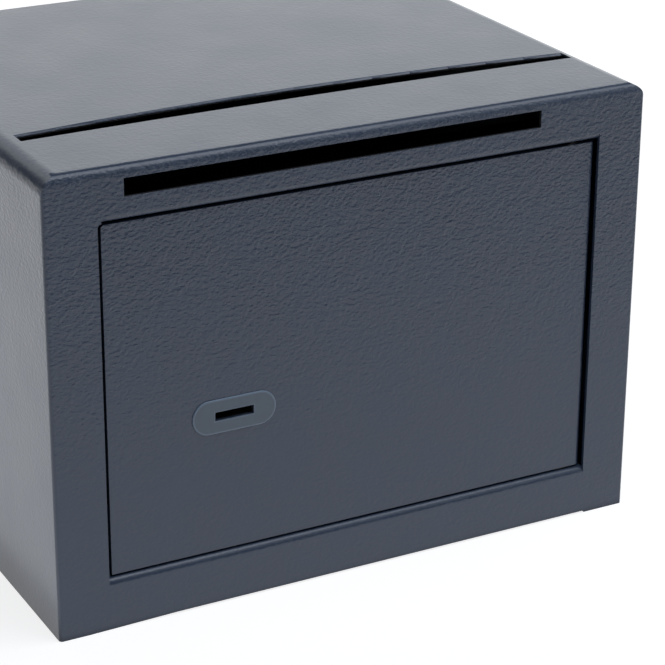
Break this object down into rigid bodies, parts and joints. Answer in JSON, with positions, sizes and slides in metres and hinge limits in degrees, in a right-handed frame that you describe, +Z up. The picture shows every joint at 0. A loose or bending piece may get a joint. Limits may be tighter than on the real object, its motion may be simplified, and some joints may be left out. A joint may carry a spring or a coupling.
{
  "type": "deposit safe",
  "caption": "Small steel deposit safe with a paper slot in its top and in its front, and a recessed double-walled door on internal hinge pins with a key-driven bolt lock.",
  "frame": {"origin": "bottom centre of the body's box, on the surface the safe stands on", "axes": "+X to the right as one faces the door, +Y from the door to the back, +Z up"},
  "size_m": [0.35, 0.296, 0.254],
  "materials": {
    "body_coat": "textured semi-gloss slate grey powder coat",
    "door_coat": "textured semi-gloss slate grey powder coat",
    "inner_coat": "smoother slate grey powder coat",
    "baffle_coat": "matt black paint",
    "escutcheon_coat": "smooth satin slate grey",
    "bright_steel": "turned and ground",
    "zinc_steel": "zinc plated",
    "lock_brass": "machined"
  },
  "bodies": {
    "safe": {"body_wrap": "body_coat", "front_frame": "body_coat", "base_pan": "body_coat", "back_plate": "body_coat", "deposit_baffle": "baffle_coat", "upper_hinge_pin": "bright_steel", "lower_hinge_pin": "bright_steel", "thrust_washer": "lock_brass"},
    "door": {"door_skin": "door_coat", "door_pan": "inner_coat", "access_cover": "inner_coat", "access_screws": "zinc_steel", "hinge_bushes": "lock_brass", "escutcheon": "escutcheon_coat", "bolt_bushes": "lock_brass", "lock_case": "zinc_steel", "lock_cover": "zinc_steel", "lock_screws": "zinc_steel", "lever_post": "bright_steel"},
    "bolts": {"lock_bolt": "zinc_steel", "bolt_bar": "zinc_steel", "upper_bolt": "bright_steel", "lower_bolt": "bright_steel", "bolt_screws": "zinc_steel"},
    "key_rotor": {"key_drum": "lock_brass", "crank_pin": "bright_steel", "rear_journal": "lock_brass"},
    "lever_pack": {"levers": "lock_brass", "lever_spring": "zinc_steel"}
  },
  "joints": [
    {"name": "door_hinge", "type": "hinge", "parent": "safe", "child": "door", "pos_m": [0.1353, -0.1365, 0.03], "axis": [0, 0, 1], "range_deg": [0, 100]},
    {"name": "bolt_throw", "type": "slide", "parent": "door", "child": "bolts", "axis": [-1, 0, 0], "range_m": [0, 0.016]},
    {"name": "key_turn", "type": "hinge", "parent": "door", "child": "key_rotor", "pos_m": [-0.0724, -0.135, 0.1086], "axis": [0, 1, 0], "range_deg": [0, 180]},
    {"name": "lever_lift", "type": "hinge", "parent": "door", "child": "lever_pack", "pos_m": [-0.0534, -0.1377, 0.1401], "axis": [0, 1, 0], "range_deg": [0, 4], "stiffness_Nm_per_rad": 0.1, "springref_deg": -11.46, "deforming": ["lever_spring"]}
  ],
  "couplings": [
    {"joint": "key_turn", "follows": "bolt_throw", "rad_per_m": 196.35}
  ]
}
